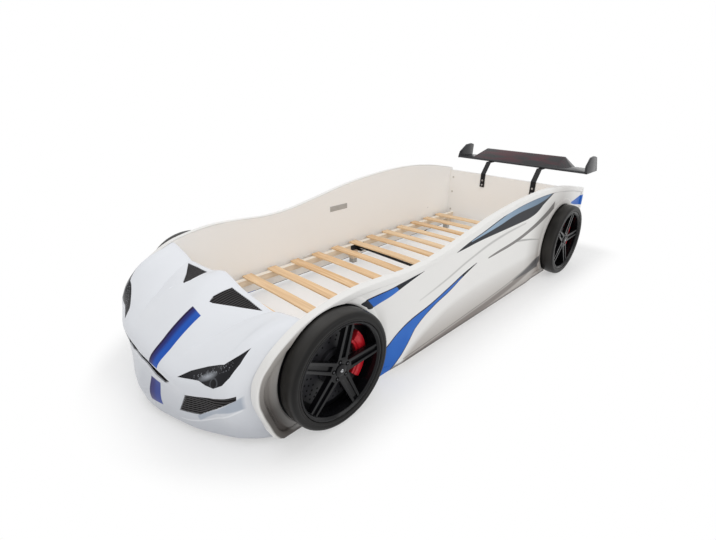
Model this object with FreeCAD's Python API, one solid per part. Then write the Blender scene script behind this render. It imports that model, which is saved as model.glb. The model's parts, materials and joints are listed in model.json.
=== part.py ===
import FreeCAD, Part
import math
import os

# Children's bed in the shape of a low sports car. Millimetres, +Z up, nose towards -Y,
# +X is the car's left-hand side. The origin lies on the floor under the middle of the bed.

V = FreeCAD.Vector
AXIS_X = V(1, 0, 0)
os.makedirs("parts", exist_ok=True)

# ---- overall plan ----
well_width = 920.0  # room between the side boards, for a mattress 90 cm wide
well_length = 2090.0  # room between foot board and headboard
well_middle_y = 66.0
board = 18.0  # thickness of the laminated boards
floor_gap = 30.0  # the boards stop this far above the floor
fit = 0.3  # clearance between fitted pieces

# ---- boards ----
headboard_height = 450.0
footboard_height = 318.0
corner_radius = 14.0

# ---- outer skins of formed plastic sheet ----
skin = 4.0
skin_wrap = 3.0  # how far the skin reaches past the edge of the board it covers
lip_width = 24.0
lip_rise = 8.0
lip_bevel = 4.0
skirt_height = 118.0
skirt_flare = 15.0
outline_step = 62.0  # length of the straight runs that draw the side's outline

# ---- wheels ----
tyre_radius = 203.5
tyre_width = 69.0
tyre_bore = 170.0
front_axle_back = 61.0  # front axle behind the foot board
rear_axle_ahead = 257.0  # rear axle in front of the headboard
wheel_sides = 40  # flat runs that draw each circle of a wheel
small_sides = 10  # and of a bolt, cap or screw
spoke_count = 5
first_spoke_angle = 5.0
disc_radius = 140.0
disc_thickness = 7.0
hat_radius = 62.0
hat_height = 11.0
hub_radius = 40.0
hub_length = 32.0
cap_radius = 22.0
bolt_radius = 4.0

# ---- slatted base ----
slat_count = 13
slat_margin = 151.0  # foot board to the middle of the first slat
slat_end_gap = 15.0  # slat to side board
slat_width = 53.0
slat_thickness = 8.0
slat_rise = 9.0
slat_seat = 60.0  # flat end of a slat, resting on the rail
rail_top = 132.0
rail_width = 28.0
rail_depth = 32.0
rail_inset = 30.0  # rail to side board

# ---- rear wing ----
wing_behind = 81.0  # wing behind the front face of the headboard
wing_chord = 168.0
wing_under = 532.0
wing_thickness = 14.0
wing_half_width = 452.0
ramp_height = 62.0
ramp_half_width = 281.0
ramp_foot_half_width = 336.0
plate_thickness = 14.0
bracket_x = 184.0
bracket_width = 34.0
bracket_thickness = 4.0
bracket_foot_z = 362.0

side_face = well_width / 2
board_face = side_face + board
skin_face = board_face + skin
foot_y = well_middle_y - well_length / 2
head_y = well_middle_y + well_length / 2
front_axle_y = foot_y + front_axle_back
rear_axle_y = head_y - rear_axle_ahead
wing_front_y = head_y + wing_behind
wing_rear_y = wing_front_y + wing_chord
slat_pitch = (well_length - 2 * slat_margin) / (slat_count - 1)


def save(name, shape):
    shape.exportStep("parts/" + name + ".step")


def mirrored(shape):
    return shape.mirror(V(0, 0, 0), AXIS_X)


def save_pair(name, shape):
    save(name + "_left", shape)
    save(name + "_right", mirrored(shape))


def block(x0, x1, y0, y1, z0, z1):
    return Part.makeBox(x1 - x0, y1 - y0, z1 - z0, V(x0, y0, z0))


def face_of(points):
    return Part.Face(Part.makePolygon(points + [points[0]]))


def stacked(rings):
    """Solid with flat faces through rings of the same number of corners."""
    faces = [face_of(rings[0]), face_of(rings[-1])]
    for near, far in zip(rings, rings[1:]):
        for i in range(len(near)):
            a, b, c, d = near[i - 1], near[i], far[i], far[i - 1]
            across = (b - a).cross(d - a)
            across.normalize()
            if abs(across.dot(c - a)) < 1e-8:
                faces.append(face_of([a, b, c, d]))
            else:
                faces += [face_of([a, b, c]), face_of([a, c, d])]
    solid = Part.Solid(Part.Shell(faces))
    return solid if solid.Volume > 0 else solid.reversed()


def turned(profile, y, sides):
    """Many-sided solid round an axle, through (place along the width, radius) points."""
    turn = 2 * math.pi / sides
    rings = []
    for x, r in profile:
        rings.append([V(x, y + r * math.cos(turn * i), tyre_radius + r * math.sin(turn * i))
                      for i in range(sides)])
    return stacked(rings)


def rod_y(radius, x, y0, y1, z):
    turn = 2 * math.pi / small_sides
    ring = [V(x + radius * math.cos(turn * i), y0, z + radius * math.sin(turn * i))
            for i in range(small_sides)]
    return face_of(ring).extrude(V(0, y1 - y0, 0))


# ---------------------------------------------------------------- side outline
# Height of the side above the floor. The nose sweep is measured from the front axle,
# the waist from the middle of the bed and the tail from the headboard.
nose_sweep = [(-199, 30), (-223, 47), (-252, 117), (-267, 164), (-275, 206), (-266, 264),
              (-229, 313), (-168, 358), (-94, 394), (-18, 412), (115, 427), (258, 421)]
waist_sweep = [(-587, 412), (-446, 420), (-305, 443), (-23, 494), (259, 523), (541, 530)]
tail_sweep = [(-222, 505), (20, 462)]
tail_end = [(20, 462), (33, 416), (38, 353), (35, 200), (9, 80), (-26, 30)]


def straight_runs(points):
    """Smooth curve through the points, drawn as straight runs of about the same length."""
    curve = Part.BSplineCurve()
    curve.interpolate(points)
    edge = curve.toShape()
    return edge.discretize(Number=int(edge.Length / outline_step) + 2)


sweep = [V(0, front_axle_y + y, z) for y, z in nose_sweep]
sweep += [V(0, well_middle_y + y, z) for y, z in waist_sweep]
sweep += [V(0, head_y + y, z) for y, z in tail_sweep]
tail = [V(0, head_y + y, z) for y, z in tail_end]
side_line = straight_runs(sweep) + straight_runs(tail)[1:]


def side_ring(grow, x):
    """The side outline, larger or smaller all round, as a ring at one place across the width."""
    ring = []
    for i, point in enumerate(side_line):
        before = point - side_line[i - 1]
        after = side_line[(i + 1) % len(side_line)] - point
        before.normalize()
        after.normalize()
        out = V(0, -before.z - after.z, before.y + after.y)
        out.normalize()
        reach = grow / max(0.5, math.sqrt((1 + before.dot(after)) / 2))
        ring.append(V(x, point.y + out.y * reach, point.z + out.z * reach))
    return ring


def side_slab(grow, x0, x1):
    return face_of(side_ring(grow, x0)).extrude(V(x1 - x0, 0, 0))


def wheel_bolt_holes(x0, x1):
    return [turned([(x0, bolt_radius + fit), (x1, bolt_radius + fit)], y, small_sides)
            for y in (front_axle_y, rear_axle_y)]


side_board = side_slab(0, side_face, board_face)
save_pair("side_board", side_board.cut(wheel_bolt_holes(side_face - 1, board_face + 1)))


# ---------------------------------------------------------------- side skin
def skirt():
    """Flare along the bottom between the wheels, fading out towards both wheels."""
    low = floor_gap - skin_wrap
    reach = [(front_axle_y + tyre_radius + 25, 1.0), (front_axle_y + tyre_radius + 150, skirt_flare),
             (rear_axle_y - tyre_radius - 150, skirt_flare), (rear_axle_y - tyre_radius - 25, 1.0)]
    rings = []
    for y, flare in reach:
        rings.append([V(skin_face - 1, y, low), V(skin_face + flare * 0.8, y, low),
                      V(skin_face + flare, y, low + 14), V(skin_face + 0.4, y, low + skirt_height),
                      V(skin_face - 1, y, low + skirt_height)])
    return stacked(rings)


lip_face = skin_face + lip_rise
side_skin = stacked([side_ring(skin_wrap, side_face), side_ring(skin_wrap, lip_face - lip_bevel),
                     side_ring(skin_wrap - lip_bevel, lip_face)])
side_skin = side_skin.cut([side_slab(fit, side_face - 1, board_face),
                           side_slab(-lip_width, skin_face, lip_face + 1)])
side_skin = side_skin.fuse(skirt())
for axle_y in (front_axle_y, rear_axle_y):
    arch = turned([(skin_face - 1, tyre_radius + 30), (skin_face + 4, tyre_radius + 30)],
                  axle_y, wheel_sides)
    side_skin = side_skin.fuse(arch.common(side_slab(-2, skin_face - 1, lip_face)))
    seat = turned([(skin_face, tyre_radius + 3), (lip_face + skirt_flare, tyre_radius + 3)],
                  axle_y, wheel_sides)
    side_skin = side_skin.cut(seat)
save_pair("side_skin", side_skin.cut(wheel_bolt_holes(side_face, lip_face)))


# ---------------------------------------------------------------- headboard and foot board
def cross_board(y, height):
    """Board between the two sides, with rounded top corners."""
    half = side_face
    panel = block(-half, half, y, y + board, floor_gap, height)
    corners = [e for e in panel.Edges if e.BoundBox.ZMin > height - 0.01 and e.BoundBox.XLength < 0.01]
    return panel.makeFillet(corner_radius, corners)


cap_places = [(side * (side_face - 30), z) for side in (-1, 1) for z in (152.0, 288.0)]
cap_places += [(side * (side_face - 30), 397.0) for side in (-1, 1)]
cover_cap_radius = 8.0
cover_caps = []
headboard = cross_board(head_y, headboard_height)
for x, z in cap_places:
    headboard = headboard.cut(rod_y(cover_cap_radius + fit, x, head_y - 1, head_y + 1.5, z))
    cover_caps.append(rod_y(cover_cap_radius, x, head_y - 1, head_y + 1.5, z))
screw_drop = (16.0, 48.0)
for side in (-1, 1):
    for drop in screw_drop:
        z = bracket_foot_z + drop
        headboard = headboard.cut(rod_y(3 + fit, side * bracket_x, head_y - 1, head_y + 13, z))
save("headboard", headboard)
save("cover_caps", Part.makeCompound(cover_caps))
save("footboard", cross_board(foot_y - board, footboard_height))


# ---------------------------------------------------------------- front shell
# Bonnet and bumper in one formed sheet. Each station is an upright cut from front to rear:
# its share of the half width at the bonnet's rear, how fast it closes on the middle line
# towards the nose, and points from the rear edge of the bonnet over the nose to the bottom
# of the bumper, measured from the foot board. The sheet is creased along the last station
# of the middle.
middle_stations = [
    (0.0, 0.0, [(-33, 402), (-85, 392), (-138, 376), (-191, 349), (-241, 318),
                (-301, 269), (-359, 208), (-361, 165), (-385, 95), (-371, 18)]),
    (0.207, 0.1625, [(-33, 376), (-85, 373), (-138, 362), (-191, 343), (-236, 317),
                     (-298, 270), (-357, 208), (-358, 164), (-379, 94), (-367, 18)]),
    (0.413, 0.325, [(-33, 364), (-85, 357), (-138, 345), (-191, 326), (-236, 303),
                    (-297, 262), (-355, 208), (-354, 163), (-370, 92), (-359, 18)]),
    (0.62, 0.4875, [(-33, 357), (-85, 347), (-138, 328), (-191, 303), (-236, 283),
                    (-295, 250), (-352, 207), (-349, 161), (-355, 90), (-343, 18)]),
]
wing_stations = middle_stations[-1:] + [
    (0.687, 0.27, [(-33, 366), (-85, 357), (-138, 341), (-189, 319), (-236, 293),
                   (-291, 252), (-339, 207), (-333, 158), (-326, 88), (-309, 18)]),
    (0.76, 0.0, [(-33, 373), (-85, 366), (-138, 353), (-189, 332), (-234, 305),
                 (-283, 261), (-306, 207), (-296, 155), (-275, 85), (-254, 18)]),
    (0.87, 0.0, [(-33, 384), (-85, 382), (-135, 372), (-185, 352), (-227, 322),
                 (-270, 270), (-289, 212), (-280, 155), (-247, 82), (-215, 18)]),
    (0.935, 0.0, [(-33, 390), (-81, 386), (-130, 373), (-178, 350), (-217, 317),
                  (-254, 266), (-269, 210), (-259, 152), (-221, 80), (-183, 18)]),
    (1.0, 0.0, [(-33, 394), (-70, 379), (-107, 358), (-142, 334), (-168, 313),
                (-196, 275), (-211, 222), (-209, 170), (-189, 105), (-138, 18)]),
]
share_line = -62.0  # the shares of the half width are taken this far in front of the foot board
shell_half = side_face - fit
shell_rear = -board
shell_low = middle_stations[0][2][-1][1]
flange_depth = 85.0


def inset(points, distance):
    """Move the points of a station inwards, square to the line they draw."""
    moved = []
    for i, (y, z) in enumerate(points):
        before = points[max(i - 1, 0)]
        after = points[min(i + 1, len(points) - 1)]
        run = after[0] - before[0]
        drop = after[1] - before[1]
        length = math.hypot(run, drop)
        moved.append((y - drop / length * distance, z + run / length * distance))
    return moved


def station_ring(x, closing, points, rear, low):
    def place(y, z):
        return V(x + closing * (y - share_line), foot_y + y, z)

    crown_y, crown_z = points[0]
    hem = [place(rear, low), place(rear, crown_z - 14), place((rear * 3 + crown_y) / 4, crown_z - 4.5)]
    return hem + [place(y, z) for y, z in points[:-1]] + [place(points[-1][0], low)]


def nose_pieces(rear, low, depth):
    """The middle of the nose and its near flank as two solids, moved inwards by a depth."""
    middle = [station_ring(share * shell_half, closing, inset(points, depth), rear, low)
              for share, closing, points in middle_stations]
    far_side = [station_ring(-share * shell_half, -closing, inset(points, depth), rear, low)
                for share, closing, points in reversed(middle_stations[1:])]
    flank = [station_ring(share * shell_half, closing, inset(points, depth), rear, low)
             for share, closing, points in wing_stations[:-1]]
    share, closing, points = wing_stations[-1]
    flank.append(station_ring(share * shell_half - depth, closing, inset(points, depth), rear, low))
    return stacked(far_side + middle), stacked(flank)


middle_nose, flank = nose_pieces(shell_rear, shell_low, 0)
middle_core, flank_core = nose_pieces(shell_rear - skin, shell_low - 20, skin)
whole_nose = middle_nose.fuse([flank, mirrored(flank)])

# Outlines of the openings: the bonnet vents seen from above, the others seen from the front.
vent_plan = [(92, -51), (190, -45), (278, -47), (177, -91), (115, -137), (100, -143), (88, -121)]
lamp_front = [(233, 222), (264, 245), (325, 277), (384, 304), (414, 334), (427, 350),
              (428, 316), (421, 282), (408, 258), (383, 242), (349, 238), (318, 239), (265, 228)]
duct_front = [(263, 172), (212, 86), (296, 102), (405, 187), (440, 213), (440, 227), (375, 210)]
mouth_front = [(-203, 192), (-150, 166), (150, 166), (203, 192), (150, 206), (-150, 206)]
mouth_depth = 26.0
cut_start = 420.0  # openings are cut from this far in front of the foot board
cut_length = 300.0
plan_cut_low = 250.0
plan_cut_height = 200.0


def plan_prism(points, grow):
    """Upright prism over an outline seen from above."""
    face = face_of([V(x, foot_y + y, plan_cut_low) for x, y in points])
    if grow:
        face = face.makeOffset2D(grow, 2, False, False, False)
    return face.extrude(V(0, 0, plan_cut_height))


def front_prism(points, grow):
    """Lengthways prism over an outline seen from the front."""
    face = face_of([V(x, foot_y - cut_start, z) for x, z in points])
    if grow:
        face = face.makeOffset2D(grow, 2, False, False, False)
    return face.extrude(V(0, cut_length, 0))


openings = [front_prism(mouth_front, 0)]
for opening in (plan_prism(vent_plan, 0), front_prism(lamp_front, 0), front_prism(duct_front, 0)):
    openings += [opening, mirrored(opening)]
openings.append(block(30 - shell_half, shell_half - 30, foot_y + shell_rear - 2 * skin, foot_y,
                      shell_low - 1, footboard_height - flange_depth))
flank_wall = flank.cut(flank_core)
front_shell = middle_nose.cut(middle_core).fuse([flank_wall, mirrored(flank_wall)]).cut(openings)
save("front_shell", front_shell)


# ---------------------------------------------------------------- inserts in the front shell
def insert(prism, surface, top, under):
    """What fills an opening between two depths below the surface of the nose."""
    return prism.common(surface.translated(top)).cut(surface.translated(under))


bonnet_vent = insert(plan_prism(vent_plan, -fit), middle_nose, V(0, 0, -0.8), V(0, 0, -0.8 - skin))
slots = []
for i in range(5):
    start = V(122 + 24 * i, foot_y - 124 + 9 * i, plan_cut_low)
    run = V(28, 28, 0)
    slot = face_of([start, start + V(9, -4, 0), start + V(9, -4, 0) + run, start + run])
    slots.append(slot.extrude(V(0, 0, plan_cut_height)))
save_pair("bonnet_vent", bonnet_vent.cut(slots))
headlamp = insert(front_prism(lamp_front, -fit), flank, V(0, 0.4, 0), V(0, 0.4 + 1.6 * skin, 0))
save_pair("headlamp", headlamp)

bumper_duct = insert(front_prism(duct_front, -fit), flank, V(0, 1.5, 0), V(0, 1.5 + skin, 0))
slots = []
for low_z in (112, 134, 156):
    slots.append(front_prism([(256, low_z), (256, low_z + 9), (342, low_z + 34), (342, low_z + 26)], 0))
save_pair("bumper_duct", bumper_duct.cut(slots))

tray = insert(front_prism(mouth_front, -fit), whole_nose, V(0, 0.5, 0), V(0, mouth_depth, 0))
tray = tray.cut(front_prism(mouth_front, -fit - 2.5).cut(whole_nose.translated(V(0, mouth_depth - 3, 0))))
slots = []
for i in range(-5, 6):
    near, far = 28 * i - 10, 28 * i + 10
    slots.append(front_prism([(near, 174), (far, 174), (far, 198), (near, 198)], 0))
save("mouth_grille", tray.cut(slots))


# ---------------------------------------------------------------- slatted base
def slat(y):
    """Bent slat: flat where it rests on the rails, arched in between."""
    end = side_face - slat_end_gap
    bend = end - slat_seat
    low = rail_top
    high = rail_top + slat_thickness
    under = Part.Arc(V(-bend, y, low), V(0, y, low + slat_rise), V(bend, y, low)).toShape()
    over = Part.Arc(V(bend, y, high), V(0, y, high + slat_rise), V(-bend, y, high)).toShape()
    edges = [Part.makeLine(V(-end, y, low), V(-bend, y, low)), under,
             Part.makeLine(V(bend, y, low), V(end, y, low)),
             Part.makeLine(V(end, y, low), V(end, y, high)),
             Part.makeLine(V(end, y, high), V(bend, y, high)), over,
             Part.makeLine(V(-bend, y, high), V(-end, y, high)),
             Part.makeLine(V(-end, y, high), V(-end, y, low))]
    return Part.Face(Part.Wire(edges)).extrude(V(0, slat_width, 0))


for number in range(1, slat_count + 1):
    middle = well_middle_y + (number - (slat_count + 1) / 2) * slat_pitch
    save("slat_%02d" % number, slat(middle - slat_width / 2))

rail_outer = side_face - rail_inset
rail_inner = rail_outer - rail_width
rail_low = rail_top - rail_depth
save_pair("slat_rail_front", block(rail_inner, rail_outer, foot_y, well_middle_y, rail_low, rail_top))
save_pair("slat_rail_rear", block(rail_inner, rail_outer, well_middle_y, head_y, rail_low, rail_top))

bar_half_width = 14.0
joiner_length = 110.0
joiner_wall = 3.0
cross_bar = block(-rail_inner + joiner_wall, rail_inner - joiner_wall,
                  well_middle_y - bar_half_width, well_middle_y + bar_half_width, rail_low, rail_low + 26)
hollow = block(-rail_inner, rail_inner, well_middle_y - bar_half_width + 2,
               well_middle_y + bar_half_width - 2, rail_low + 2, rail_low + 24)
save("cross_bar", cross_bar.cut(hollow))

joiner = block(rail_inner - joiner_wall, rail_inner, well_middle_y - joiner_length / 2,
               well_middle_y + joiner_length / 2, rail_low - joiner_wall, rail_top - 2)
joiner = joiner.fuse(block(rail_inner - joiner_wall, rail_outer, well_middle_y - joiner_length / 2,
                           well_middle_y + joiner_length / 2, rail_low - joiner_wall, rail_low))
shelf = block(rail_inner - 45, rail_inner - joiner_wall, well_middle_y - bar_half_width,
              well_middle_y + bar_half_width, rail_low - joiner_wall, rail_low)
joiner = joiner.fuse(shelf)
save("rail_joiners", Part.makeCompound([joiner, mirrored(joiner)]))

angle_wall = 3.0
angle_length = 60.0
angle_places = [foot_y + 120, foot_y + 700, head_y - 700, head_y - 120]
angles = []
for y in angle_places:
    leg = block(side_face - angle_wall, side_face, y - angle_length / 2, y + angle_length / 2,
                rail_low - angle_wall, rail_top)
    ledge = block(rail_inner, side_face, y - angle_length / 2, y + angle_length / 2,
                  rail_low - angle_wall, rail_low)
    angle = leg.fuse(ledge).removeSplitter()
    angles += [angle, mirrored(angle)]
save("rail_angles", Part.makeCompound(angles))

# Wooden blocks inside the side boards, each on a plastic pad, carry the bed.
block_side = 42.0
pad_side = 34.0
support_blocks = []
floor_pads = []
for y in (foot_y + 4, well_middle_y - block_side / 2, head_y - 4 - block_side):
    post = block(side_face - block_side, side_face, y, y + block_side, floor_gap, floor_gap + 60)
    pad = block(side_face - 4 - pad_side, side_face - 4, y + 4, y + 4 + pad_side, 0, floor_gap)
    support_blocks += [post, mirrored(post)]
    floor_pads += [pad, mirrored(pad)]
save("support_blocks", Part.makeCompound(support_blocks))
save("floor_pads", Part.makeCompound(floor_pads))


# ---------------------------------------------------------------- wheels
tyre_back = skin_face
tyre_front = skin_face + tyre_width
tyre_profile = [(tyre_back, tyre_radius - 6), (tyre_back + tyre_width * 0.5, tyre_radius),
                (tyre_front - 7, tyre_radius - 1.5), (tyre_front, tyre_radius - 9),
                (tyre_front - 3, tyre_bore)]

rim_front = tyre_front - 6
rim_radius = tyre_bore - fit
rim_back = skin_face + 4
rim_wall = 10.0

hub_back = skin_face + disc_thickness + hat_height
hub_front = hub_back + hub_length
spoke_tip = rim_radius - 6


def spoke(y, half_at_hub, half_at_tip, back, front, start):
    """Tapered bar from the hub to the rim, rising towards the rim."""
    ends = []
    for reach, half, rise in ((start, half_at_hub, 0), (spoke_tip, half_at_tip, 8)):
        z = tyre_radius + reach
        corners = [V(back + rise, y - half, z), V(front + rise, y - half, z),
                   V(front + rise, y + half, z), V(back + rise, y + half, z)]
        ends.append(corners)
    return stacked(ends)


def around_axle(shape, y, angle):
    """Turn a piece standing straight up from the axle to an angle above the rear."""
    return shape.rotated(V(0, y, tyre_radius), AXIS_X, angle - 90)


def spoked_wheel(y):
    outside = [(rim_back, rim_radius), (rim_front + 2, rim_radius)]
    inside = [(rim_back - 1, rim_radius - rim_wall), (rim_front - 5, rim_radius - rim_wall - 2),
              (rim_front + 3, rim_radius - rim_wall + 5)]
    wheel = turned(outside, y, wheel_sides).cut(turned(inside, y, wheel_sides))
    wheel = wheel.fuse(turned([(hub_back, hub_radius), (hub_front, hub_radius)], y, 2 * small_sides))
    bar = spoke(y, 21, 17, hub_front - 20, hub_front - 1, 12)
    bar = bar.cut(spoke(y, 9, 8.5, hub_front - 9, hub_front + 3, hub_radius + 4))
    pitch = 360.0 / spoke_count
    wheel = wheel.fuse([around_axle(bar, y, first_spoke_angle + pitch * i) for i in range(spoke_count)])
    bore = turned([(hub_back - 1, bolt_radius + fit), (hub_front + 1, bolt_radius + fit)], y, small_sides)
    counterbore = turned([(hub_front - 6, bolt_radius * 2 + 1), (hub_front + 1, bolt_radius * 2 + 1)],
                         y, small_sides)
    return wheel.cut([bore, counterbore]).removeSplitter()


def brake_disc(y):
    disc = turned([(skin_face, disc_radius), (skin_face + disc_thickness, disc_radius)], y, wheel_sides)
    disc = disc.fuse(turned([(skin_face, hat_radius), (hub_back, hat_radius)], y, 2 * small_sides))
    bore = turned([(skin_face - 1, bolt_radius + fit), (hub_back + 1, bolt_radius + fit)], y, small_sides)
    return disc.cut(bore).removeSplitter()


def caliper(y):
    """Block over the rear of the disc, with a raised bridge."""
    back = skin_face + disc_thickness
    front = hub_back + 11
    pieces = []
    for inner, outer, top in ((48, 4, front - 4), (38, 14, front)):
        ring = turned([(back, disc_radius - outer), (top, disc_radius - outer)], y, wheel_sides)
        pieces.append(ring.cut(turned([(back - 1, disc_radius - inner), (top + 1, disc_radius - inner)],
                                      y, wheel_sides)))
    reach = disc_radius * 1.5
    span = math.radians(42)
    wedge = face_of([V(back, y, tyre_radius),
                     V(back, y + reach * math.cos(span), tyre_radius - reach * math.sin(span)),
                     V(back, y + reach, tyre_radius),
                     V(back, y + reach * math.cos(span), tyre_radius + reach * math.sin(span))])
    return pieces[0].fuse(pieces[1]).common(wedge.extrude(V(40, 0, 0)))


caps = []
bolts = []
for place, axle_y in (("front", front_axle_y), ("rear", rear_axle_y)):
    tyre = turned(tyre_profile, axle_y, wheel_sides)
    save_pair("tyre_" + place, tyre.cut(turned([(tyre_back - 1, tyre_bore), (tyre_front, tyre_bore)],
                                               axle_y, wheel_sides)))
    save_pair("wheel_" + place, spoked_wheel(axle_y))
    save_pair("brake_disc_" + place, brake_disc(axle_y))
    save_pair("caliper_" + place, caliper(axle_y))
    cap = turned([(hub_front, cap_radius), (hub_front + 3, cap_radius - 1),
                  (hub_front + 5, cap_radius - 8)], axle_y, 2 * small_sides)
    bolt = turned([(side_face, bolt_radius), (hub_front - 6, bolt_radius)], axle_y, small_sides)
    bolt = bolt.fuse(turned([(hub_front - 6, bolt_radius * 2), (hub_front - 1, bolt_radius * 2)],
                            axle_y, small_sides))
    caps += [cap, mirrored(cap)]
    bolts += [bolt, mirrored(bolt)]
save("wheel_caps", Part.makeCompound(caps))
save("wheel_bolts", Part.makeCompound(bolts))


# ---------------------------------------------------------------- rear wing
def wing_section(x, ramp):
    """Cut through the wing; the ramp raises the middle of its top."""
    top = wing_under + wing_thickness
    crest_y = wing_front_y + 0.63 * (wing_rear_y - wing_front_y)
    corners = [V(x, wing_front_y + 6, wing_under), V(x, wing_front_y, wing_under + 5),
               V(x, wing_front_y + 3, top), V(x, crest_y, top + ramp),
               V(x, crest_y + 16, top + ramp), V(x, wing_rear_y, top - 3 + ramp * 0.3),
               V(x, wing_rear_y, wing_under)]
    return corners


places = [(wing_half_width, 0.5), (ramp_foot_half_width, 0.5), (ramp_half_width, ramp_height - 2)]
cuts = [wing_section(-x, ramp) for x, ramp in places]
cuts += [wing_section(x, ramp) for x, ramp in reversed(places)]
wing = stacked(cuts)
plate_side = [(12, -2), (12, 12), (18, 44), (86, 89), (143, 94), (180, 84), (193, 14), (193, -2)]
lean = 13.0
for side in (-1, 1):
    ends = []
    for shift in (-plate_thickness, 0):
        ends.append([V(side * (wing_half_width + plate_thickness + shift - lean * z / 94),
                       wing_front_y + y, wing_under + z) for y, z in plate_side])
    wing = wing.fuse(stacked(ends))
save("wing_blade", wing)

# Flat steel bent twice: up the headboard, back towards the wing, then along its underside.
bend_z = headboard_height + 6
strip_under = wing_under - bracket_thickness
foot_front = wing_front_y - 26
upper_line = [(head_y - bracket_thickness, bracket_foot_z), (head_y - bracket_thickness, bend_z),
              (foot_front - 2, wing_under), (foot_front + 120, wing_under)]
lower_line = [(foot_front + 120, strip_under), (foot_front, strip_under),
              (head_y, bend_z - 1), (head_y, bracket_foot_z)]
strip = face_of([V(bracket_x - bracket_width / 2, y, z) for y, z in upper_line + lower_line])
bracket = strip.extrude(V(bracket_width, 0, 0))
screws = []
for drop in screw_drop:
    z = bracket_foot_z + drop
    bracket = bracket.cut(rod_y(3 + fit, bracket_x, head_y - bracket_thickness - 1, head_y + 1, z))
    screw = rod_y(3, bracket_x, head_y - bracket_thickness, head_y + 12, z)
    head = rod_y(6, bracket_x, head_y - bracket_thickness - 3, head_y - bracket_thickness, z)
    screws += [screw.fuse(head), mirrored(screw.fuse(head))]
save_pair("wing_bracket", bracket)
save("wing_screws", Part.makeCompound(screws))
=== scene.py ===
import json
import math
from contextlib import contextmanager

import bmesh
import bpy
import numpy as np
from mathutils import Matrix, Vector


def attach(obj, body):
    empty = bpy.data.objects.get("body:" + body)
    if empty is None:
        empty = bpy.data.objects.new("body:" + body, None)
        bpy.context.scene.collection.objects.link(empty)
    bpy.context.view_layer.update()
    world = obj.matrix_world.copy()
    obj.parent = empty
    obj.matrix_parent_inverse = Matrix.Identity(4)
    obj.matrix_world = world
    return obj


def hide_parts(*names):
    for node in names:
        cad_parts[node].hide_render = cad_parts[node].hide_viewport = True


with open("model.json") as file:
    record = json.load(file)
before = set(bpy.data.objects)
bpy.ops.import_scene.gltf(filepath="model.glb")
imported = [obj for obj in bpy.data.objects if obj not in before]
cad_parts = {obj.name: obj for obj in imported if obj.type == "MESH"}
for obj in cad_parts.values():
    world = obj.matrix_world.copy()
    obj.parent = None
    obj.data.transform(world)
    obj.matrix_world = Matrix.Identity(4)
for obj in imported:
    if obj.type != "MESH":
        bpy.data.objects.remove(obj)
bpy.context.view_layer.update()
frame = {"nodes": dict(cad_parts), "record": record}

nodes = frame["nodes"]


# ----- places taken from the frame
def edges_of(name, axis):
    """Least and greatest place of a CAD node along one axis, to a tenth of a millimetre."""
    places = [corner.co[axis] for corner in nodes[name].data.vertices]
    return round(min(places), 4), round(max(places), 4)


def middle_of(name, axis):
    """Place of the middle of a CAD node along one axis."""
    return round(sum(edges_of(name, axis)) / 2, 4)


AXLES = (middle_of("tyre_front_left", 1), middle_of("tyre_rear_left", 1))
AXLE_Z = middle_of("tyre_front_left", 2)
FOOT_Y = edges_of("footboard", 1)[1] * 1000
HEAD_Y = edges_of("headboard", 1)[0] * 1000
SLAT_MIDDLE_Y = middle_of("slat_07", 1) * 1000
INNER_WALL_X = edges_of("side_board_left", 0)[0] * 1000

# Outline of the side, in millimetres: (along, up), measured from the front axle, the middle
# slat and the inner face of the headboard.
NOSE_SWEEP = [(-199, 30), (-223, 47), (-252, 117), (-267, 164), (-275, 206), (-266, 264),
              (-229, 313), (-168, 358), (-94, 394), (-18, 412), (115, 427), (258, 421)]
WAIST_SWEEP = [(-587, 412), (-446, 420), (-305, 443), (-23, 494), (259, 523), (541, 530)]
TAIL_SWEEP = [(-222, 505), (20, 462)]
TAIL_END = [(20, 462), (33, 416), (38, 353), (35, 200), (9, 80), (-26, 30)]


# ----- shader helpers
def maths_method(operation):
    """Method that adds one Math node of this kind."""
    def method(self, *others):
        return self.maths(operation, *others)

    return method


class Socket:
    """A shader socket that can be used in sums; every operation adds one Math node."""

    def __init__(self, shader, out):
        self.shader = shader
        self.out = out

    def maths(self, operation, *others, clamp=False):
        node = self.shader.add("ShaderNodeMath", {"operation": operation, "use_clamp": clamp},
                               dict(enumerate((self,) + others)))
        return Socket(self.shader, node.outputs[0])

    __add__ = __radd__ = maths_method("ADD")
    __sub__ = maths_method("SUBTRACT")
    __mul__ = __rmul__ = maths_method("MULTIPLY")
    __truediv__ = maths_method("DIVIDE")
    __abs__ = maths_method("ABSOLUTE")
    low = maths_method("MINIMUM")
    high = maths_method("MAXIMUM")
    root = maths_method("SQRT")

    def __rsub__(self, other):
        return self * -1.0 + other

    def clip(self):
        """The value held between 0 and 1."""
        return self.maths("ADD", 0.0, clamp=True)

    def edge(self, soft=0.001):
        """0 below nought, 1 above it, with a short ramp."""
        return (self / soft + 0.5).clip()


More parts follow.
